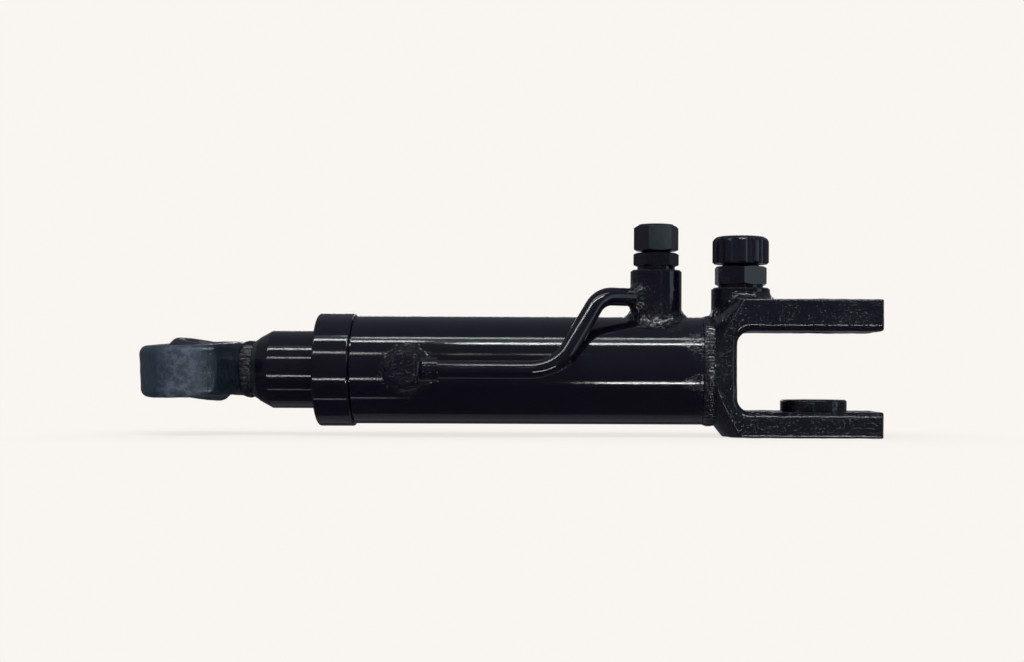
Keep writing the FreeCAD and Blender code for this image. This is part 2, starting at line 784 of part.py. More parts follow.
def rod_side_port_block():
    body = body_named("rod_side_port_block", ("-rod_port_x", "0", "0"))
    turned(
        body, "post",
        [("0", "barrel_radius / 2"), ("block_radius", "barrel_radius / 2"),
         ("block_radius", "block_top - block_edge"), ("block_radius - block_edge", "block_top"),
         ("0", "block_top")],
        axis="V_Axis",
    )
    saddle(body, "-2 * block_radius", "2 * block_radius")
    turned(
        body, "port",
        [("0", f"block_top + {PAST}"), ("0", "pipe_height"), ("adapter_way_radius", "pipe_height"),
         ("adapter_way_radius", "block_top - rod_port_depth"),
         ("rod_port_radius", "block_top - rod_port_depth"),
         ("rod_port_radius", f"block_top + {PAST}")],
        axis="V_Axis", kind="Groove",
    )
    run = math.degrees(math.atan2(-worth("pipe_top_front"), -worth("upper_bend_from_port")))
    away = Rotation(Vector(0, 0, 1), run) * Rotation(Vector(0, 1, 0), 90)
    for name, radius, start in (
        ("pipe_seat", "pipe_radius", "block_radius - pipe_seat"),
        ("pipe_way", "pipe_radius - pipe_wall", "0"),
    ):
        hole = body.newObject("PartDesign::SubtractiveCylinder", f"rod_side_port_block_{name}")
        hole.setExpression("Radius", tied(radius))
        hole.setExpression("Height", tied(f"block_radius * 2 - ({start})"))
        out = away.multVec(Vector(0, 0, worth(start)))
        hole.Placement = FreeCAD.Placement(Vector(out.x, out.y, worth("pipe_height")), away)
    return body


def port_adapter(label, port_x, seat, sizes):
    """A fitting with a spigot in the port, a hexagon and a threaded stub under the cap."""
    body = body_named(label, (f"-{port_x}", "0", seat))
    flats, height, turn, stub, length, neck, neck_height, port, depth = sizes
    hexes = sketch_on(body, "XY_Plane", "hex")
    outline(hexes, hexagon(flats, turn))
    padded(body, "hex", hexes, height)
    corner = f"{flats} / 2 / {HEX_CORNER}"
    for name, face, back in (("top_edge", height, f"{height} - hex_edge"), ("foot_edge", "0", "hex_edge")):
        turned(
            body, name,
            [(f"{flats} / 2", face), (f"{corner} + {PAST}", face), (f"{corner} + {PAST}", back)],
            axis="V_Axis", kind="Groove",
        )
    stub_top = f"{height} + {length}"
    turned(
        body, "stub",
        [("0", height), (neck, height), (neck, f"{height} + {neck_height}"),
         (stub, f"{height} + {neck_height}"), (stub, f"{stub_top} - stub_edge"),
         (f"{stub} - stub_edge", stub_top), ("0", stub_top)],
        axis="V_Axis",
    )
    turned(
        body, "spigot",
        box_outline("0", f"{port} - thread_clearance", f"-({depth} - adapter_spigot_gap)", "0"),
        axis="V_Axis",
    )
    turned(
        body, "way",
        box_outline("0", "adapter_way_radius", f"-({depth}) - {PAST}", f"{stub_top} + {PAST}"),
        axis="V_Axis", kind="Groove",
    )
    return body


def ports():
    port_adapter(
        "rod_side_adapter", "rod_port_x", rod_seat,
        ("rod_hex", "rod_hex_height", "rod_hex_turn", "rod_stub_radius", "rod_stub_length", "rod_neck_radius",
         "rod_neck_height", "rod_port_radius", "(rod_port_depth + rod_washer)"),
    )
    port_adapter(
        "base_adapter", "base_port_x", base_seat,
        ("base_hex", "base_hex_height", "base_hex_turn", "base_stub_radius", "base_stub_length",
         "base_neck_radius", "base_neck_height", "base_port_radius", "(base_port_depth + base_washer)"),
    )
    for side, seat in (("rod", "block_top"), ("base", "base_boss_top")):
        label = {"rod": "rod_side_seal_washer", "base": "base_seal_washer"}[side]
        body = body_named(label, (f"-{side}_port_x", "0", seat))
        hole = f"{side}_port_radius + washer_hole_clearance"
        turned(body, "ring", box_outline(hole, f"{side}_washer_radius", "0", f"{side}_washer"), axis="V_Axis")


def rod_side_cap():
    body = body_named("rod_side_cap", ("-rod_port_x", "0", rod_cap_foot))
    hexes = sketch_on(body, "XY_Plane", "hex")
    outline(hexes, hexagon("rod_hex", "rod_cap_turn"))
    padded(body, "hex", hexes, "rod_cap_height")
    corner = f"rod_hex / 2 / {HEX_CORNER}"
    outside = f"({corner} + {PAST})"
    fall = f"rod_cap_chamfer * ({outside} - rod_cap_top_radius) / ({corner} - rod_cap_top_radius)"
    turned(
        body, "crown",
        [("rod_cap_top_radius", "rod_cap_height"), (outside, "rod_cap_height"),
         (outside, f"rod_cap_height - {fall}")],
        axis="V_Axis", kind="Groove",
    )
    turned(
        body, "foot_edge", [("rod_hex / 2", "0"), (outside, "0"), (outside, "hex_edge")],
        axis="V_Axis", kind="Groove",
    )
    depth = "rod_stub_length - rod_neck_height + cap_seat_gap"
    turned(
        body, "thread",
        box_outline("0", "rod_stub_radius + thread_clearance", f"-{PAST}", depth),
        axis="V_Axis", kind="Groove",
    )
    return body


def base_cap():
    body = body_named("base_cap", ("-base_port_x", "0", base_cap_foot))
    foot_edge = "base_cap_edge / 4"
    turned(
        body, "knob",
        [("0", "0"), (f"base_cap_radius - {foot_edge}", "0"), ("base_cap_radius", foot_edge),
         ("base_cap_radius", "base_cap_height - base_cap_edge"),
         ("base_cap_radius - base_cap_edge", "base_cap_height", "base_cap_edge", -1),
         ("0", "base_cap_height")],
        axis="V_Axis",
    )
    depth = "base_stub_length - base_neck_height + cap_seat_gap"
    turned(
        body, "thread",
        box_outline("0", "base_stub_radius + thread_clearance", f"-{PAST}", depth),
        axis="V_Axis", kind="Groove",
    )
    groove = sketch_on(body, "XY_Plane", "flute")
    half = "180 / flute_count"
    out = "(base_cap_radius - flute_depth + flute_radius)"
    circle(groove, f"{out} * cos({half})", f"{out} * sin({half})", "flute_radius")
    flute = pocketed(body, "flute", groove)
    pattern = body.newObject("PartDesign::PolarPattern", "base_cap_flutes")
    pattern.Originals = [flute]
    pattern.Axis = (groove, ["N_Axis"])
    pattern.Angle = 360
    pattern.setExpression("Occurrences", tied("flute_count"))
    body.Tip = pattern
    return body


def seated_on_fork(body):
    """Everything below the fork's top, its cone and the weld's crown is cut out of a piece on the fork."""
    crown = "(barrel_radius + weld_crown)"
    flat_start = f"(-shoulder + (fork_top - {weld_root_radius}) / cone_growth + base_port_x)"
    crown_start = f"(-shoulder + ({crown} - {weld_root_radius}) / cone_growth + base_port_x)"
    turned(
        body, "cone_seat",
        [("-2 * fork_top", "0"), (flat_start, "0"), (flat_start, "fork_top"), (crown_start, crown),
         ("-2 * fork_top", crown)],
        kind="Groove",
    )
    flat = sketch_on(body, "XZ_Plane", "flat_seat")
    pocketed(body, "flat_cut", outline(flat, box_outline(flat_start, "2 * fork_top", "0", "fork_top")))


def base_port_boss():
    body = body_named("base_port_boss", ("-base_port_x", "0", "0"))
    turned(
        body, "post",
        [("0", "boss_foot"), ("base_boss_radius", "boss_foot"),
         ("base_boss_radius", "base_boss_top - block_edge"),
         ("base_boss_radius - block_edge", "base_boss_top"),
         ("0", "base_boss_top")],
        axis="V_Axis",
    )
    turned(
        body, "port",
        [("0", f"base_boss_top + {PAST}"), ("0", "0"), ("oil_way_radius", "0"),
         ("oil_way_radius", "base_boss_top - base_port_depth"),
         ("base_port_radius", "base_boss_top - base_port_depth"),
         ("base_port_radius", f"base_boss_top + {PAST}")],
        axis="V_Axis", kind="Groove",
    )
    seated_on_fork(body)
    return body


def base_port_weld():
    body = body_named("base_port_weld", ("-base_port_x", "0", "0"))
    turned(
        body, "bead",
        [("base_boss_radius", "boss_foot"), ("base_boss_radius + base_weld_leg", "boss_foot"),
         ("base_boss_radius + base_weld_leg", "fork_top"), ("base_boss_radius", "fork_top + base_weld_leg")],
        axis="V_Axis",
    )
    seated_on_fork(body)
    return body


# Elbow block, sleeve and transfer pipe
def rod_side_boss():
    body = body_named("rod_side_boss", (elbow_x,))
    turned(
        body, "post",
        [("0", "-barrel_radius / 2"), ("elbow_radius", "-barrel_radius / 2"),
         ("elbow_radius", "-elbow_reach + elbow_edge"), ("elbow_radius - elbow_edge", "-elbow_reach"),
         ("0", "-elbow_reach")],
        axis="V_Axis", role="XY_Plane",
    )
    saddle(body, "-2 * elbow_radius", "2 * elbow_radius")
    turned(
        body, "way",
        box_outline("0", "oil_way_radius", "-pipe_front", "0"),
        axis="V_Axis", role="XY_Plane", kind="Groove",
    )
    for name, radius, start in (
        ("pipe_seat", "pipe_radius", "elbow_radius - pipe_seat"), ("pipe_way", "oil_way_radius", "0"),
    ):
        hole = body.newObject("PartDesign::SubtractiveCylinder", f"rod_side_boss_{name}")
        hole.setExpression("Radius", tied(radius))
        hole.setExpression("Height", tied(f"2 * elbow_radius - ({start})"))
        hole.Placement = FreeCAD.Placement(Vector(), Rotation(Vector(0, 1, 0), 90))
        hole.setExpression("Placement.Base.x", tied(start))
        hole.setExpression("Placement.Base.y", tied("-pipe_front"))
    return body


def pipe_sleeve():
    body = body_named("pipe_sleeve", (elbow_x, "-pipe_front"))
    turned(
        body, "tube",
        box_outline("elbow_radius / 2", "elbow_radius + sleeve_length", "pipe_radius", "sleeve_radius"),
    )
    turned(
        body, "saddle", box_outline("0", "elbow_radius", "-2 * sleeve_radius", "2 * sleeve_radius"),
        axis="V_Axis", role="XY_Plane", kind="Groove",
    )
    return body


def pipe_points():
    """The corners of the transfer pipe's centre line, from the elbow block to the port block."""
    front, height = worth("pipe_front"), worth("pipe_height")
    start = Vector(worth(f"{elbow_x} + elbow_radius - pipe_seat"), -front, 0)
    low = Vector(-worth("rod_port_x + lower_bend_from_port"), -front, 0)
    high = Vector(-worth("rod_port_x + upper_bend_from_port"), -worth("pipe_top_front"), height)
    axis = Vector(-worth("rod_port_x"), 0, height)
    into = (axis - high).normalize()
    return [start, low, high, axis - into * worth("block_radius - pipe_seat")]


def rounded_path(points, radii):
    """Straight runs through the points, joined by tangent arcs of the given radii."""
    edges = []
    last = points[0]
    for before, corner, after, radius in zip(points, points[1:], points[2:], radii):
        back, ahead = (before - corner).normalize(), (after - corner).normalize()
        half = back.getAngle(ahead) / 2
        tangent = radius / math.tan(half)
        start, end = corner + back * tangent, corner + ahead * tangent
        bisector = (back + ahead).normalize()
        middle = corner + bisector * (radius / math.sin(half) - radius)
        edges += [Part.LineSegment(last, start).toShape(), Part.Arc(start, middle, end).toShape()]
        last = end
    edges.append(Part.LineSegment(last, points[-1]).toShape())
    return Part.Wire(edges)


def transfer_pipe():
    points = pipe_points()
    path = rounded_path(points, [worth("lower_bend_radius"), worth("upper_bend_radius")])
    along = (points[1] - points[0]).normalize()
    outer, inner = (
        path.makePipeShell([Part.Wire(Part.makeCircle(radius, points[0], along))], True, False)
        for radius in (worth("pipe_radius"), worth("pipe_radius - pipe_wall"))
    )
    pipe = outer.cut(inner)
    section = math.pi * (worth("pipe_radius") ** 2 - worth("pipe_radius - pipe_wall") ** 2)
    share = pipe.Volume / section / path.Length
    print(f"transfer pipe {path.Length:.1f} mm long, volume over section times length {share:.4f}")
    return shaped("transfer_pipe", pipe)


def foot_bead(label, carrier, stub, leg, stops):
    """The fillet weld round a stub's foot: what a chamfer adds where the two meet, short of the stops."""
    joined = carrier.fuse(stub)
    skins = (carrier.Shells[0], stub.Shells[0])
    meeting = []
    for edge in joined.Edges:
        low, high = edge.ParameterRange
        points = [Part.Vertex(edge.valueAt(low + (high - low) * part)) for part in (0.2, 0.5, 0.8)]
        if all(point.distToShape(skin)[0] < 1e-3 for point in points for skin in skins):
            meeting.append(edge)
    bead = joined.makeChamfer(leg, meeting).cut([joined, *stops])
    return shaped(label, bead.Solids[0] if len(bead.Solids) == 1 else bead)


def foot_beads():
    radius, margin = worth("barrel_radius"), worth("3 * block_radius")

    def barrel_at(middle):
        return Part.makeCylinder(radius, 2 * margin, middle - Vector(margin, 0, 0), Vector(1, 0, 0))

    elbow = Vector(worth(elbow_x), 0, 0)
    boss = Part.makeCylinder(worth("elbow_radius"), worth("elbow_reach"), elbow, Vector(0, -1, 0))
    sleeve = Part.makeCylinder(
        worth("sleeve_radius"), margin, elbow - Vector(0, worth("pipe_front"), 0), Vector(1, 0, 0)
    )
    foot_bead("rod_side_boss_weld", barrel_at(elbow), boss, worth("elbow_weld_leg"), [sleeve])
    port = Vector(-worth("rod_port_x"), 0, 0)
    block = Part.makeCylinder(worth("block_radius"), worth("block_top"), port, Vector(0, 0, 1))
    under = foot_bead("port_block_weld", barrel_at(port), block, worth("block_weld_leg"), [])
    high, end = pipe_points()[2:]
    pipe = Part.makeCylinder(worth("pipe_radius"), margin, end, (high - end).normalize())
    foot_bead("pipe_end_weld", block, pipe, worth("pipe_weld_leg"), [under.Shape])


fork_base()
fork_bush()
barrel_tube()
barrel_weld()
gland()
gland_rings()
piston()
piston_rings()
piston_nut()
piston_rod()
rod_eye()
rod_eye_weld()
eye_ball()
rod_side_port_block()
base_port_boss()
base_port_weld()
ports()
rod_side_cap()
base_cap()
rod_side_boss()
pipe_sleeve()
transfer_pipe()
foot_beads()
doc.recompute()

# Every object is checked before anything is written
faults = [item.Name for item in doc.Objects if {"Invalid", "Error"} & set(item.State)]
faults += [piece.Label for piece in finished if piece.Shape.isNull() or not piece.Shape.isValid()]
if faults:
    raise SystemExit("failed: " + ", ".join(faults))
os.makedirs("parts", exist_ok=True)
for piece in finished:
    piece.Shape.exportStep(f"parts/{piece.Label}.step")
print(f"{len(finished)} pieces")
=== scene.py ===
"""The looks of a hydraulic lift cylinder: black paint, rippled welds, a rough forging, a cast eye.

Metres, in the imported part's own frame: +X towards the fork's open end, +Z towards the two ports.
"""
import json
import math
import random

import bpy
from mathutils import Matrix, Vector, noise


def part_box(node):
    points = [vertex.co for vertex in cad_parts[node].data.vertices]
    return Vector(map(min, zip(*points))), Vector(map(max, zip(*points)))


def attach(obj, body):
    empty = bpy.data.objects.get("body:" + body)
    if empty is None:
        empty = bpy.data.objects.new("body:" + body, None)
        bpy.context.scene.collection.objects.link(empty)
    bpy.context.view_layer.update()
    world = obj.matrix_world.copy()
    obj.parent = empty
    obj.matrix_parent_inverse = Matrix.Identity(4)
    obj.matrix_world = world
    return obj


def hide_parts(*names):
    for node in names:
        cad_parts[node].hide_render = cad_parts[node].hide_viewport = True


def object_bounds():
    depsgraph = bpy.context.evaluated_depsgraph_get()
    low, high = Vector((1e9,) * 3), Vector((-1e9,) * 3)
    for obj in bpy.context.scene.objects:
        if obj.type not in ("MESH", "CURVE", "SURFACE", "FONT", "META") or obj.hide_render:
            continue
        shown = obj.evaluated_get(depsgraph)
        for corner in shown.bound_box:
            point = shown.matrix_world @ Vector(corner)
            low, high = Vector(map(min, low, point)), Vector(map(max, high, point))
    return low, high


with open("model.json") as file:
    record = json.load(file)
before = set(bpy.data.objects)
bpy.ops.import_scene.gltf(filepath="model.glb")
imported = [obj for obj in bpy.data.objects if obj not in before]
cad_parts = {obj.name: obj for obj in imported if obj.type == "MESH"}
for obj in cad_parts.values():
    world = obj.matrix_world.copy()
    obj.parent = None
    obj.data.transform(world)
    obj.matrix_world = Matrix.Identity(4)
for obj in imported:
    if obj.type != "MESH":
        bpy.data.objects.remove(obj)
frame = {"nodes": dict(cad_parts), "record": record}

MM = 0.001
X_AXIS = Vector((1, 0, 0))
Y_AXIS = Vector((0, 1, 0))
Z_AXIS = Vector((0, 0, 1))

nodes = frame["nodes"]
record = frame["record"]
cad_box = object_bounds()
body_of = {node: body for body, held in record["behaviour"]["bodies"].items() for node in held}
slot_of = {part["node"]: part["material_slot"] for part in record["subparts"]}


def low(node):
    return Vector(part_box(node)[0])


def high(node):
    return Vector(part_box(node)[1])


def middle(node):
    return (low(node) + high(node)) / 2


ball_mount = next(mount for mount in record["mounts"] if mount["name"] == "ball_bore")
ball_axis, eye_centre = Vector(ball_mount["axis"]), Vector(ball_mount["pos_m"])


# Finishes

PAINT_SHINE = 0.45
LATHE_RINGS = (1, 0.05, 0.05)    # noise stretched round the axis


class Value:
    """A socket of a finish's nodes that sums and products take like a number."""

    def __init__(self, finish, socket):
        self.finish = finish
        self.socket = socket

    def __add__(self, other):
        return self.finish.maths("ADD", self, other)

    __radd__ = __add__

    def __sub__(self, other):
        return self.finish.maths("SUBTRACT", self, other)

    def __rsub__(self, other):
        return self.finish.maths("SUBTRACT", other, self)

    def __mul__(self, other):
        return self.finish.maths("MULTIPLY", self, other)

    __rmul__ = __mul__


class Finish:
    """A material whose pattern is made by nodes, from the piece's own coordinates."""

    def __init__(self, name):
        self.material = bpy.data.materials.new(name)
        self.material.use_nodes = True
        self.tree = self.material.node_tree
        self.shader = self.tree.nodes["Principled BSDF"]
        self.place = self.node("ShaderNodeTexCoord", output="Object")

    def node(self, kind, settings=None, sockets=None, output=0):
        """One output of a node with these settings and these values or links of its sockets."""
        made = self.tree.nodes.new(kind)
        for field, value in (settings or {}).items():
            if field == "stops":
                for stop, (place, shade) in zip(made.color_ramp.elements, value):
                    stop.position = place
                    stop.color = (shade, shade, shade, 1)
            else:
                setattr(made, field, value)
        for name, value in (sockets or {}).items():
            self.feed(made.inputs[name], value)
        return Value(self, made.outputs[output])

    def feed(self, socket, value):
        if isinstance(value, Value):
            self.tree.links.new(value.socket, socket)
        else:
            socket.default_value = value

    def maths(self, operation, first, second):
        return self.node("ShaderNodeMath", {"operation": operation}, {0: first, 1: second})

    def vectors(self, operation, first, second, output=0):
        """Vector Math on two places or directions; a number comes from its output called Value."""
        settings = {"operation": operation}
        return self.node("ShaderNodeVectorMath", settings, {0: first, 1: second}, output)

    def noise(self, grain, detail=3.0, stretch=None):
        """Soft noise with features about grain metres wide, stretched along an axis where asked."""
        place = self.place
        if stretch:
            place = self.node("ShaderNodeMapping", {}, {"Vector": place, "Scale": stretch})
        sockets = {"Vector": place, "Scale": 1 / grain, "Detail": detail}
        return self.node("ShaderNodeTexNoise", {}, sockets)

    def between(self, value, start, end):
        """0 below start, 1 above end, and a straight rise between them."""
        return self.node("ShaderNodeValToRGB", {"stops": [(start, 0), (end, 1)]}, {"Fac": value})

    def along(self, axis, start=(0, 0, 0)):
        """Metres along an axis from a start."""
        place = self.vectors("SUBTRACT", self.place, start)
        return self.vectors("DOT_PRODUCT", place, axis, "Value")

    def aside(self, axis, start=(0, 0, 0)):
        """Metres to either side of a start, along an axis."""
        return self.maths("ABSOLUTE", self.along(axis, start), 0)

    def near(self, point, reach):
        """1 beside a point and 0 beyond reach."""
        distance = self.vectors("DISTANCE", self.place, point, "Value")
        return 1 - self.between((1 / reach) * distance, 0.65, 1.0)

    def mixed(self, factor, first, second):
        """One colour turning into another."""
        return self.blended(factor, (*first, 1), second)

    def blended(self, factor, first, second):
        """A colour or a colour's link turning into another colour."""
        sockets = {0: factor, 6: first, 7: (*second, 1)}
        return self.node("ShaderNodeMix", {"data_type": "RGBA"}, sockets, output=2)

    def relief(self, height, depth):
        """Bumps where height goes from 0 to 1, depth metres high."""
        sockets = {"Height": height, "Distance": depth, "Strength": 1.0}
        return self.node("ShaderNodeBump", {}, sockets)

    def surface(self, **values):
        """Sets the shader's sockets, such as Base_Color, to values or links."""
        for name, value in values.items():
            self.feed(self.shader.inputs[name.replace("_", " ")], value)
        return self.material


def gloss_black_paint():
    """Thick wet-looking paint: nearly a mirror, with orange peel, and spatter near the welds."""
    finish = Finish("gloss_black_paint")
    peel = finish.noise(3.0 * MM, 2.0)
    grain = finish.noise(0.55 * MM, 2.0)
    rough_zone = finish.between(finish.noise(28 * MM, 1.0), 0.46, 0.62)
    along = finish.along(X_AXIS)
    past_port = finish.between(20 * (along + 0.100), 0.50, 0.82)
    before_fork = finish.between(20 * (-0.044 - along), 0.0, 0.2)
    spatter = finish.between(finish.noise(1.1 * MM, 4.0), 0.52, 0.66) * (past_port * before_fork)
    specks = finish.between(finish.noise(1.2 * MM, 2.0), 0.56, 0.74)
    block_foot = middle("port_block_weld") + Vector((0.007, -0.013, 0.0))
    specks = specks * (
        finish.near(middle("rod_side_boss"), 0.019)
        + finish.near(middle("pipe_end_weld"), 0.015)
        + finish.near(block_foot, 0.013)
    )
    dust = finish.between(finish.noise(0.9 * MM, 4.0), 0.66, 0.76)
    tone = finish.noise(25 * MM)
    skin = peel + (0.4 + 0.7 * rough_zone) * grain + 5 * spatter + 11 * specks
    return finish.surface(
        Base_Color=finish.mixed(tone, (0.0020, 0.0016, 0.0052), (0.0042, 0.0038, 0.0082)),
        Roughness=0.05 + 0.04 * finish.noise(6 * MM) + 0.14 * dust,
        Normal=finish.relief(skin, 0.016 * MM),
        Specular_IOR_Level=PAINT_SHINE,
    )


def forged_black_paint():
    """The same paint over a forging: the skin's lumps break its highlights into specks."""
    finish = Finish("forged_black_paint")
    lumps = finish.noise(3.0 * MM, 3.0)
    scale = finish.between(finish.noise(1.3 * MM, 2.0), 0.55, 0.72)
    patches = finish.between(finish.noise(14 * MM, 2.0), 0.46, 0.62)
    tone = finish.noise(12 * MM)
    return finish.surface(
        Base_Color=finish.mixed(tone, (0.0026, 0.0024, 0.0056), (0.0058, 0.0060, 0.0100)),
        Roughness=0.06 + 0.04 * lumps,
        Normal=finish.relief(0.4 * lumps + (0.25 + 0.75 * patches) * scale, 0.30 * MM),
        Specular_IOR_Level=PAINT_SHINE,
    )


def cast_black_paint():
    """Thin satin paint over a cast skin, mottled blue-grey, with a painted sheen that lightens a
    band across the eye's middle, and darker on the neck.
    """
    finish = Finish("cast_black_paint")
    lumps = finish.noise(2.0 * MM, 5.0)
    cloud = finish.between(finish.noise(4 * MM, 5.0), 0.42, 0.60)
    specks = finish.between(finish.noise(0.9 * MM, 3.0), 0.48, 0.70)
    # painted sheen: a band across the middle of the eye is painted lighter
    sheen_middle = eye_centre - X_AXIS * 4 * MM
    painted_sheen = 1 - finish.between(30 * finish.aside(X_AXIS, sheen_middle), 0.18, 0.46)
    neck = finish.between(30 * finish.along(X_AXIS, eye_centre), 0.20, 0.50)
    tone = painted_sheen * (0.05 + 0.6 * cloud + 0.3 * specks)
    painted = finish.mixed(tone, (0.0120, 0.0260, 0.0400), (0.078, 0.090, 0.135))
    return finish.surface(
        Base_Color=finish.blended(neck, painted, (0.0060, 0.0095, 0.0150)),
        Roughness=0.34 + 0.20 * painted_sheen - 0.16 * neck,
        Normal=finish.relief(lumps + 0.3 * specks, 0.18 * MM),
    )


def painted_weld():
    """Gloss paint over weld metal with small beads on it, fewer on the weld beside the eye."""
    finish = Finish("painted_weld")
    slag = finish.noise(1.6 * MM, 2.0)
    calm = finish.near(middle("rod_eye_weld"), 0.030)
    beads = finish.between(finish.noise(1.4 * MM, 2.0), 0.56, 0.76) * (1 - 0.6 * calm)
    tone = finish.noise(6 * MM)
    return finish.surface(
        Base_Color=finish.mixed(tone, (0.0026, 0.0026, 0.0054), (0.0060, 0.0064, 0.0100)),
        Roughness=0.05 + 0.05 * slag,
        Normal=finish.relief(0.1 * slag + beads, 0.20 * MM),
        Specular_IOR_Level=PAINT_SHINE,
    )


def black_plastic():
    """Moulded plastic with a fine grain and half a gloss."""
    finish = Finish("black_plastic")
    grain = finish.noise(0.35 * MM, 2.0)
    tone = finish.noise(9 * MM)
    return finish.surface(
        Base_Color=finish.mixed(tone, (0.0040, 0.0036, 0.0085), (0.0070, 0.0064, 0.0135)),
        Roughness=0.15 + 0.10 * finish.noise(4 * MM),
        Normal=finish.relief(grain, 0.006 * MM),
        Specular_IOR_Level=0.42,
    )


def turned_metal(name, dark, light, roughness, sprayed=None):
    """Metal with the rings that a lathe leaves, black where the whole cylinder was sprayed."""
    finish = Finish(name)
    rings = finish.noise(0.25 * MM, 2.0, LATHE_RINGS)
    bare = finish.mixed(finish.noise(5 * MM), dark, light)
    if sprayed is None:
        return finish.surface(
            Base_Color=bare, Metallic=1.0, Roughness=roughness + 0.1 * rings,
            Normal=finish.relief(rings, 0.004 * MM),
        )
    paint = sprayed(finish)
    film = finish.noise(2.2 * MM, 3.0)
    return finish.surface(
        Base_Color=finish.blended(paint, bare, (0.010, 0.013, 0.019)), Metallic=1 - paint,
        Roughness=roughness + 0.1 * rings + 0.10 * paint,
        Normal=finish.relief(0.1 * rings + film * paint, 0.04 * MM),
    )


def outside_the_gland(finish):
    """1 on the rod's end that stays outside the gland when the cylinder is closed."""
    inside_nose = low("gland").x + 3.5 * MM
    return finish.between(100 * (inside_nose - finish.along(X_AXIS)), 0.25, 0.35)


def outside_the_socket(finish):
    """1 on the ball's open ends, 0 on the band that bears in the eye's socket."""
    return finish.between(40 * finish.aside(ball_axis, eye_centre), 0.36, 0.40)


def smooth_ring(name, dark, light, roughness):
    """Rubber or polymer of the seals and guide rings."""
    finish = Finish(name)
    return finish.surface(
        Base_Color=finish.mixed(finish.noise(2 * MM), dark, light),
        Roughness=roughness + 0.12 * finish.noise(1 * MM),
    )


finishes = {
    "gloss_black_paint": gloss_black_paint(),
    "forged_black_paint": forged_black_paint(),
    "cast_black_paint": cast_black_paint(),
    "painted_weld": painted_weld(),
    "black_plastic": black_plastic(),
    "hardened_steel": turned_metal(
        "hardened_steel", (0.26, 0.26, 0.27), (0.38, 0.38, 0.39), 0.24, outside_the_socket,
    ),
    "chromed_bar": turned_metal(
        "chromed_bar", (0.66, 0.67, 0.69), (0.74, 0.75, 0.77), 0.08, outside_the_gland,
    ),
    "machined_steel": turned_metal(
        "machined_steel", (0.40, 0.40, 0.40), (0.55, 0.55, 0.54), 0.25,
    ),
    "bronze_bush": turned_metal("bronze_bush", (0.52, 0.34, 0.16), (0.66, 0.45, 0.22), 0.28),
    "seal_rubber": smooth_ring(
        "seal_rubber", (0.006, 0.007, 0.010), (0.014, 0.015, 0.020), 0.22,
    ),
    "seal_polymer": smooth_ring("seal_polymer", (0.06, 0.10, 0.22), (0.09, 0.15, 0.30), 0.42),
}
for node, item in nodes.items():
    for holder in item.material_slots:
        holder.material = finishes[slot_of[node]]


# Modelling

SHARP = math.radians(28)     # an edge that turns by more than this is rounded
CREASE = math.radians(24)    # and shading breaks at an edge that turns by more than this


def alone(piece):
    """Selects the piece and nothing else."""
    bpy.ops.object.select_all(action="DESELECT")
    piece.select_set(True)
    bpy.context.view_layer.objects.active = piece
    return piece


def applied(piece, kind, **settings):
    """Adds a modifier with these settings and applies it."""
    alone(piece)
    modifier = piece.modifiers.new(kind.lower(), kind)
    for field, value in settings.items():
        setattr(modifier, field, value)
    bpy.ops.object.modifier_apply(modifier=modifier.name)


def settled(piece, name, node):
    """Names a finished piece that replaces a node, and gives it that node's finish and body."""
    alone(piece)
    bpy.ops.object.transform_apply(location=True, rotation=True, scale=True)
    piece.name = name
    piece.data.name = name
    piece.data.materials.clear()
    piece.data.materials.append(finishes[slot_of[node]])
    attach(piece, body_of[node])
    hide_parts(node)


def copy_of(node):
    """A node's mesh as a piece of its own, with its loose triangles merged into whole faces."""
    piece = bpy.data.objects.new(node + "_copy", nodes[node].data.copy())
    bpy.context.collection.objects.link(piece)
    alone(piece)
    bpy.ops.mesh.customdata_custom_splitnormals_clear()
    bpy.ops.object.mode_set(mode="EDIT")
    bpy.ops.mesh.select_all(action="SELECT")
    bpy.ops.mesh.remove_doubles(threshold=0.002 * MM)
    bpy.ops.mesh.dissolve_limited(angle_limit=math.radians(0.4))
    bpy.ops.object.mode_set(mode="OBJECT")
    return piece


def rounded(piece, width):
    """Rounds a piece's sharp edges, as paint leaves them."""
    applied(
        piece, "BEVEL", width=width, segments=3, limit_method="ANGLE", angle_limit=SHARP,
        use_clamp_overlap=True,
    )
    bpy.ops.object.shade_smooth_by_angle(angle=CREASE)
    applied(piece, "WEIGHTED_NORMAL", keep_sharp=True)


def softened(node, name, width):
    """A node with its sharp edges rounded."""
    piece = copy_of(node)
    rounded(piece, width)
    settled(piece, name, node)


def faced_outwards(piece):
    """Turns a closed piece's faces outwards."""
    alone(piece)
    bpy.ops.object.mode_set(mode="EDIT")
    bpy.ops.mesh.select_all(action="SELECT")
    bpy.ops.mesh.normals_make_consistent(inside=False)
    bpy.ops.object.mode_set(mode="OBJECT")


def rough_skin(node, name, voxel, wear, relief, lump):
    """A forged or cast skin over a node's shape: edges worn round, and a little uneven."""
    piece = copy_of(node)
    applied(piece, "REMESH", mode="VOXEL", voxel_size=voxel)
    applied(piece, "SMOOTH", factor=0.5, iterations=wear)
    clouds = bpy.data.textures.new(name, "CLOUDS")
    clouds.noise_scale = lump
    clouds.noise_depth = 3
    applied(
        piece, "DISPLACE", texture=clouds, texture_coords="LOCAL", strength=relief, mid_level=0.5,
    )
    bpy.ops.object.shade_smooth()
    settled(piece, name, node)


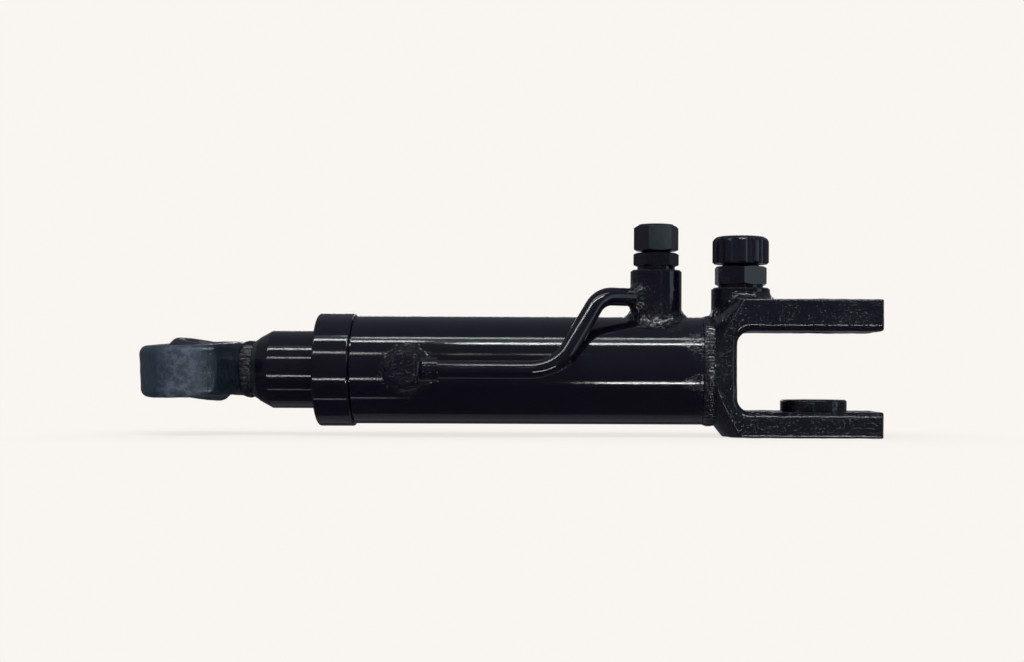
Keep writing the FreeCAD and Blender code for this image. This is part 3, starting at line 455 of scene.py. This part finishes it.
def weld_bead(name, node, stations, width, height, pitch, seed):
    """Overlapping ripples on a weld's plain form, at stations: a point, a way along, a way out."""
    chance = random.Random(seed)
    bpy.ops.object.select_all(action="DESELECT")
    bpy.ops.mesh.primitive_uv_sphere_add(segments=14, ring_count=8, radius=1)
    ripple = bpy.context.object
    ripples = []
    for point, along, out in stations:
        across = out.cross(along).normalized()
        lean = Matrix.Rotation(math.radians(34 + chance.uniform(-6, 6)), 3, across)
        turn = lean @ Matrix((along, across, out)).transposed()
        grow = chance.uniform(0.85, 1.15)
        rise = height * chance.uniform(0.85, 1.2)
        size = Matrix.Diagonal((pitch * 1.25, width / 2 * grow, rise))
        drift = across * chance.uniform(-0.08, 0.08) * width
        drift += along * chance.uniform(-0.25, 0.25) * pitch
        piece = ripple.copy()
        piece.data = ripple.data.copy()
        piece.matrix_world = Matrix.Translation(point + drift) @ (turn @ size).to_4x4()
        bpy.context.collection.objects.link(piece)
        ripples.append(piece)
    bpy.data.objects.remove(ripple)
    ripples.append(copy_of(node))
    bpy.ops.object.select_all(action="DESELECT")
    for piece in ripples:
        piece.select_set(True)
    bpy.context.view_layer.objects.active = ripples[0]
    bpy.ops.object.join()
    bead = alone(ripples[0])
    bpy.ops.object.transform_apply(location=True, rotation=True, scale=True)
    applied(bead, "REMESH", mode="VOXEL", voxel_size=0.30 * MM)
    applied(bead, "SMOOTH", factor=0.5, iterations=14)
    bpy.ops.object.shade_smooth()
    settled(bead, name, node)


def closed_path(place, count):
    """Stations round a closed weld. place gives an angle's point and the way out there."""
    angles = [2 * math.pi * step / count for step in range(count)]
    points = [place(angle) for angle in angles]
    stations = []
    for index, (point, out) in enumerate(points):
        ahead = points[(index + 1) % count][0] - points[index - 1][0]
        along = (ahead - out * ahead.dot(out)).normalized()
        stations.append((point, along, out))
    return stations


# Welds

RIPPLE_PITCH = 1.7 * MM
SECTION = 14          # points of a fillet's section: its face, toe to toe, then two in the metal
FACE = SECTION - 3    # the face's last point
HOLLOW = 0.7          # the face: 0 is straight from toe to toe, 1 a round hollow
SINK = 0.12 * MM      # how far the face lies in
LUMP_SIZE, LUMP_HEIGHT = 2.4 * MM, 0.45 * MM
PIPE_HEIGHT, PIPE_RADIUS = 40.6 * MM, 5 * MM
OUTSIDE = 100 * MM    # rays start this far from the cylinder's axis, outside everything

barrel_radius = high("barrel_tube").z
barrel, fork = nodes["barrel_tube"], nodes["fork_base"]


def ring_weld(name, node, radius, height, seed):
    """The bead in the groove round the cylinder's axis."""
    centre = middle(node) + X_AXIS * 0.8 * MM
    width = (high(node).x - low(node).x) * 1.12

    def place(angle):
        out = Vector((0, math.cos(angle), math.sin(angle)))
        return Vector((centre.x, 0, 0)) + out * (radius - height), out

    stations = closed_path(place, round(2 * math.pi * radius / RIPPLE_PITCH))
    weld_bead(name, node, stations, width, height, RIPPLE_PITCH, seed)


def hollow_weld(name, node, foot, count, ripple, seed):
    """A fillet weld, hollow between its toes.

    foot gives, for an angle, the corner between the two surfaces and the ways from it to both toes.
    """
    bpy.ops.object.select_all(action="DESELECT")
    bpy.ops.mesh.primitive_torus_add(major_segments=count, minor_segments=SECTION)
    weld = bpy.context.object
    chance = random.Random(seed)
    beat = [chance.uniform(0.5, 1.0) for _ in range(count)]
    length = 0
    before = None
    for station in range(count):
        corner, up, along_surface = foot(2 * math.pi * station / count)
        length += (corner - before).length if before else 0
        before = corner
        out = (up + along_surface).normalized()
        wave = abs(math.sin(math.pi * length / RIPPLE_PITCH)) * beat[int(length / RIPPLE_PITCH)]
        for step in range(SECTION):
            if step > FACE:
                inner = along_surface if step == FACE + 1 else up
                place = corner + inner * 0.6 - out * 1.2 * MM
            else:
                turn = math.pi / 2 * step / FACE
                hollow = up * (1 - math.sin(turn)) + along_surface * (1 - math.cos(turn))
                chord = up * (1 - step / FACE) + along_surface * step / FACE
                place = corner + hollow * HOLLOW + chord * (1 - HOLLOW)
                lump = noise.noise(place / LUMP_SIZE) * LUMP_HEIGHT
                place += out * (math.sin(2 * turn) * (ripple * wave + lump) - SINK)
            weld.data.vertices[station * SECTION + step].co = place
    faced_outwards(weld)
    bpy.ops.object.shade_smooth_by_angle(angle=math.radians(50))
    settled(weld, name, node)


def surface_under(point, axis):
    """The point of the barrel or the fork that lies under a point, along axis."""
    start = point + axis * (OUTSIDE - point.dot(axis))
    rays = (piece.ray_cast(start, -axis) for piece in (barrel, fork))
    return max((place for hit, place, _, _ in rays if hit), key=axis.dot)


def post_weld(name, node, post, axis, leg, ripple, seed):
    """The fillet round the foot of a round post whose axis is Z, or -Y for the elbow block."""
    centre = middle(post)
    radius = (high(post).x - low(post).x) / 2
    side = axis.cross(X_AXIS)

    def foot(angle):
        round_post = X_AXIS * math.cos(angle) + side * math.sin(angle)
        corner = surface_under(Vector((centre.x, 0, 0)) + round_post * radius, axis)
        return corner, axis * leg, surface_under(corner + round_post * leg * 0.9, axis) - corner

    hollow_weld(name, node, foot, 250, ripple, seed)


def pipe_weld():
    """The bead where the transfer pipe goes into the side of its port block."""
    block = middle("rod_side_port_block")
    block_radius = (high("rod_side_port_block").x - low("rod_side_port_block").x) / 2
    bead = middle("pipe_end_weld")
    away = Vector((bead.x - block.x, bead.y, 0)).normalized()
    side = Z_AXIS.cross(away)
    centre = Vector((block.x, 0, PIPE_HEIGHT))

    def depth(aside):
        """How far the block's round side is from its axis, this far aside."""
        return math.sqrt(block_radius**2 - aside**2)

    def foot(angle):
        around = side * math.cos(angle) + Z_AXIS * math.sin(angle)
        corner = centre + away * depth(PIPE_RADIUS * math.cos(angle)) + around * PIPE_RADIUS
        below, before = max(0, -around.z), max(0, -around.y)
        toe = corner + around * (3.0 + 3.5 * below + 3.5 * before) * MM
        toe += away * (depth((toe - centre).dot(side)) - (toe - centre).dot(away))
        return corner, away * 3.2 * MM, toe - corner

    hollow_weld("pipe_end_bead", "pipe_end_weld", foot, 110, 0.4 * MM, 6)


ring_weld("barrel_ring_bead", "barrel_weld", barrel_radius, 0.30 * MM, 1)
ring_weld("rod_eye_bead", "rod_eye_weld", high("piston_rod").z, 0.20 * MM, 2)
for name, node, post, axis, leg, ripple, seed in (
    ("port_block_bead", "port_block_weld", "rod_side_port_block", Z_AXIS, 4.6 * MM, 0.20 * MM, 3),
    ("base_port_bead", "base_port_weld", "base_port_boss", Z_AXIS, 5.0 * MM, 0.10 * MM, 4),
    ("elbow_bead", "rod_side_boss_weld", "rod_side_boss", -Y_AXIS, 4.2 * MM, 0.30 * MM, 5),
):
    post_weld(name, node, post, axis, leg, ripple, seed)
pipe_weld()


# Forging and casting

rough_skin("fork_base", "fork_forging", 0.7 * MM, 6, 0.55 * MM, 7 * MM)
rough_skin("rod_eye", "rod_eye_casting", 0.7 * MM, 6, 0.5 * MM, 7 * MM)
rough_skin("eye_ball", "eye_ball_painted", 0.6 * MM, 80, 0.1 * MM, 8 * MM)


# Turned and moulded pieces

def threaded(node, name, cap, pitch, depth):
    """A fitting whose plain stub is taken down to a screw thread's root and gets its ridge."""
    piece = copy_of(node)
    foot, top = low(cap).z, high(node).z
    axis = Vector((middle(node).x, middle(node).y, 0))
    stub = [v for v in piece.data.vertices if v.co.z > foot - 0.05 * MM]
    crest = max((v.co - axis).xy.length for v in stub)
    for v in stub:
        around = (v.co - axis).xy
        if around.length > crest - 1.2 * MM:
            around.length -= depth
            v.co.x, v.co.y = axis.x + around.x, axis.y + around.y
    rounded(piece, 0.6 * MM)
    root = crest - depth
    turns = (top - foot - 1.6 * MM - pitch) / pitch
    # the ridge's section: millimetres out from the root, and shares of the pitch along the stub
    profile = [
        (-0.2 * MM, -0.49), (-0.2 * MM, 0.49),
        (depth * 0.12, 0.44), (depth, 0.07), (depth, -0.07), (depth * 0.12, -0.44),
    ]
    bpy.ops.object.select_all(action="DESELECT")
    bpy.ops.mesh.primitive_circle_add(vertices=len(profile), radius=1, fill_type="NGON")
    ridge = bpy.context.object
    for v, (out, step) in zip(ridge.data.vertices, profile):
        v.co = (root + out, 0, step * pitch)
    steps = round(40 * turns)
    applied(
        ridge, "SCREW", axis="Z", angle=2 * math.pi * turns, screw_offset=pitch * turns,
        iterations=1, steps=steps, render_steps=steps, use_smooth_shade=False,
    )
    bpy.ops.object.mode_set(mode="EDIT")
    bpy.ops.mesh.select_all(action="DESELECT")
    bpy.ops.mesh.select_non_manifold()
    bpy.ops.mesh.edge_face_add()
    bpy.ops.object.mode_set(mode="OBJECT")
    faced_outwards(ridge)
    ridge.location = (axis.x, axis.y, foot + 0.6 * MM + pitch / 2)
    bpy.ops.object.transform_apply(location=True, rotation=True, scale=True)
    bpy.ops.object.shade_smooth_by_angle(angle=math.radians(30))
    alone(piece)
    ridge.select_set(True)
    bpy.ops.object.join()
    settled(piece, name, node)


THREAD_PITCH, THREAD_DEPTH = 1.5 * MM, 0.92 * MM
threaded("rod_side_adapter", "rod_side_fitting", "rod_side_cap", THREAD_PITCH, THREAD_DEPTH)
threaded("base_adapter", "base_fitting", "base_cap", THREAD_PITCH, THREAD_DEPTH)

for node, name, width in (
    ("gland", "gland_body", 0.35 * MM),
    ("fork_bush", "fork_bush_ring", 0.15 * MM),
    ("rod_side_port_block", "port_block_body", 0.4 * MM),
    ("base_port_boss", "base_boss_body", 0.4 * MM),
    ("rod_side_cap", "rod_side_cap_hex", 0.8 * MM),
    ("base_cap", "base_cap_knob", 0.35 * MM),
    ("rod_side_boss", "elbow_block", 0.4 * MM),
    ("pipe_sleeve", "pipe_collar", 0.3 * MM),
    ("rod_side_seal_washer", "rod_side_washer", 0.35 * MM),
    ("base_seal_washer", "base_washer", 0.35 * MM),
):
    softened(node, name, width)


# Stage: floor, lamps and camera

BACKGROUND = (0.947, 0.913, 0.871)
ROOM = (0.80, 0.83, 1.0)
ROOM_HEIGHTS = (-0.6, 0.9)      # slopes of view between which the room goes from dark to light
FLOOR_SIZE = 16
PANEL_HEIGHT, PANEL_MIDDLE = 0.7, 0.15
PHOTO_WIDTH = 1024
CAMERA = Vector((-0.108, -0.950, -0.003))


def sees(tree, *ways):
    """1 where the ray is one of these ways, such as Is Camera Ray."""
    path = tree.nodes.new("ShaderNodeLightPath")
    total = path.outputs[ways[0]]
    for way in ways[1:]:
        either = tree.nodes.new("ShaderNodeMath")
        either.operation = "MAXIMUM"
        tree.links.new(total, either.inputs[0])
        tree.links.new(path.outputs[way], either.inputs[1])
        total = either.outputs[0]
    return total


def pale_floor():
    """A pale floor that keeps the part's real shadow near it, where it is also a little darker,
    painted shade, and is plain background further out.
    """
    bpy.ops.object.select_all(action="DESELECT")
    below = cad_box[0][2] - 0.2 * MM
    bpy.ops.mesh.primitive_plane_add(size=FLOOR_SIZE, location=(0, 0, below))
    floor = bpy.context.object
    floor.name = "floor"
    finish = Finish("pale_floor")
    finish.surface(Base_Color=(*BACKGROUND, 1), Roughness=0.9, Specular_IOR_Level=0.0)
    glow = finish.node("ShaderNodeEmission", {}, {"Color": (*BACKGROUND, 1), "Strength": 1.0})
    aside = finish.between(4 * finish.aside(Y_AXIS), 0.16, 0.56)
    ahead = finish.aside(X_AXIS, (middle("barrel_tube").x, 0, 0))
    # under: near the part the lit floor shows through, with the part's real shadow, and the floor
    # there is a little darker: painted shade
    under = (1 - aside) * (1 - finish.between(2 * ahead, 0.40, 0.56))
    factor = (1 - 0.18 * under) * Value(finish, sees(finish.tree, "Is Camera Ray"))
    mixed = finish.tree.nodes.new("ShaderNodeMixShader")
    finish.feed(mixed.inputs[0], factor)
    finish.tree.links.new(finish.shader.outputs[0], mixed.inputs[1])
    finish.feed(mixed.inputs[2], glow)
    surface = finish.tree.nodes["Material Output"].inputs["Surface"]
    finish.tree.links.new(mixed.outputs[0], surface)
    floor.data.materials.append(finish.material)
    floor.visible_glossy = False
    floor.visible_shadow = False


def room(floor_level, roof_level):
    """The world: plain background to the camera, and a dim room that lights the part from above.

    The photograph's paint mirrors a dark room, so glossy rays see the room and not the background.
    """
    world = bpy.data.worlds.new("room")
    bpy.context.scene.world = world
    world.use_nodes = True
    tree = world.node_tree
    shade = tree.nodes["Background"]
    seen = sees(tree, "Is Camera Ray", "Is Transmission Ray")
    tint = tree.nodes.new("ShaderNodeMix")
    tint.data_type = "RGBA"
    tree.links.new(seen, tint.inputs[0])
    tint.inputs[6].default_value = (*ROOM, 1)
    tint.inputs[7].default_value = (*BACKGROUND, 1)
    tree.links.new(tint.outputs[2], shade.inputs["Color"])
    way = tree.nodes.new("ShaderNodeSeparateXYZ")
    tree.links.new(tree.nodes.new("ShaderNodeTexCoord").outputs["Generated"], way.inputs[0])
    rise = tree.nodes.new("ShaderNodeMapRange")
    tree.links.new(way.outputs["Z"], rise.inputs["Value"])
    rise.inputs["From Min"].default_value = ROOM_HEIGHTS[0]
    rise.inputs["From Max"].default_value = ROOM_HEIGHTS[1]
    rise.inputs["To Min"].default_value = floor_level
    rise.inputs["To Max"].default_value = roof_level
    strength = tree.nodes.new("ShaderNodeMapRange")
    tree.links.new(seen, strength.inputs["Value"])
    tree.links.new(rise.outputs[0], strength.inputs["To Min"])
    strength.inputs["To Max"].default_value = 1.0
    tree.links.new(strength.outputs[0], shade.inputs["Strength"])


def lamp(name, place, across, tall, level, tint=(1, 1, 1)):
    """A soft box of this size, turned towards the cylinder, that shines at this level."""
    light = bpy.data.lights.new(name, "AREA")
    light.shape = "RECTANGLE"
    light.size, light.size_y = across, tall
    light.energy = level * across * tall * math.pi
    light.color = tint
    holder = bpy.data.objects.new(name, light)
    holder.location = place
    holder.rotation_euler = Vector((0, place[1], place[2])).to_track_quat("Z", "Y").to_euler()
    holder.visible_camera = False
    bpy.context.collection.objects.link(holder)
    return holder


def tube_lamp(name, elevation, width, level, start, end, tint=(1, 1, 1)):
    """A tube beside the cylinder from x = start to end, a metre off, this many degrees up."""
    rise = math.radians(elevation)
    place = ((start + end) / 2, -math.cos(rise), math.sin(rise))
    tube = lamp(name, place, end - start, width, level, tint)
    tube.rotation_euler = (math.radians(90) - rise, 0, 0)


def upright_panel(name, azimuth, width, level, tint=(1, 1, 1)):
    """A standing panel beside the camera, turned about the ports at this azimuth in degrees."""
    turn = math.radians(azimuth)
    place = (middle("base_cap").x + math.sin(turn), -math.cos(turn), PANEL_MIDDLE)
    panel = lamp(name, place, width, PANEL_HEIGHT, level, tint)
    panel.rotation_euler = (math.radians(90), 0, turn)


def camera():
    """The photograph's view: square to the cylinder, with the frame shifted and rolled a little."""
    view = bpy.data.cameras.new("photo_view")
    view.lens = 59.8
    view.sensor_width = 36
    view.shift_x = -108 / PHOTO_WIDTH
    view.shift_y = 45 / PHOTO_WIDTH
    holder = bpy.data.objects.new("photo_view", view)
    upright = Matrix.Rotation(math.radians(90), 4, "X")
    roll = Matrix.Rotation(math.radians(0.23), 4, "Z")
    holder.matrix_world = Matrix.Translation(CAMERA) @ upright @ roll
    bpy.context.collection.objects.link(holder)
    bpy.context.scene.camera = holder


pale_floor()
room(0.05, 0.26)
tube_lamp("high_tube", 70.5, 0.04, 12, -0.41, 0.60)
tube_lamp("upper_tube_left", 62, 0.045, 22, -1.00, -0.33)
tube_lamp("upper_tube", 57.5, 0.045, 34, -0.29, 0.60)
tube_lamp("upper_glow", 66, 0.22, 0.8, -0.60, 0.50, (0.55, 0.85, 0.85))
tube_lamp("front_tube", 34, 0.045, 10, -1.00, -0.36)
tube_lamp("front_window", 33, 0.025, 9, -0.29, -0.26)
tube_lamp("front_window_right", 33, 0.025, 9, -0.213, -0.188)
tube_lamp("low_tube_left", -19.5, 0.04, 13, -1.00, -0.37)
tube_lamp("low_tube", -26, 0.045, 34, -0.130, 0.60)
tube_lamp("foot_tube", -62, 0.04, 2, -1.00, -0.36)
tube_lamp("under_glow", -125, 0.60, 0.16, -0.70, 0.60)
tube_lamp("back_tube", 165, 0.05, 5, -0.60, 0.30)
upright_panel("right_panel", 74, 0.40, 1.0, (0.75, 0.92, 1.0))
upright_panel("left_panel", -98, 0.30, 0.08)
lamp("cap_stripe", (0.345, -1.0, 0.178), 0.06, 0.09, 1.5, (0.75, 0.95, 1.0))
lamp("cap_glow", (0.245, -1.0, 0.178), 0.14, 0.09, 0.4, (0.5, 0.9, 0.8))
camera()
bpy.context.scene.view_settings.view_transform = "Standard"
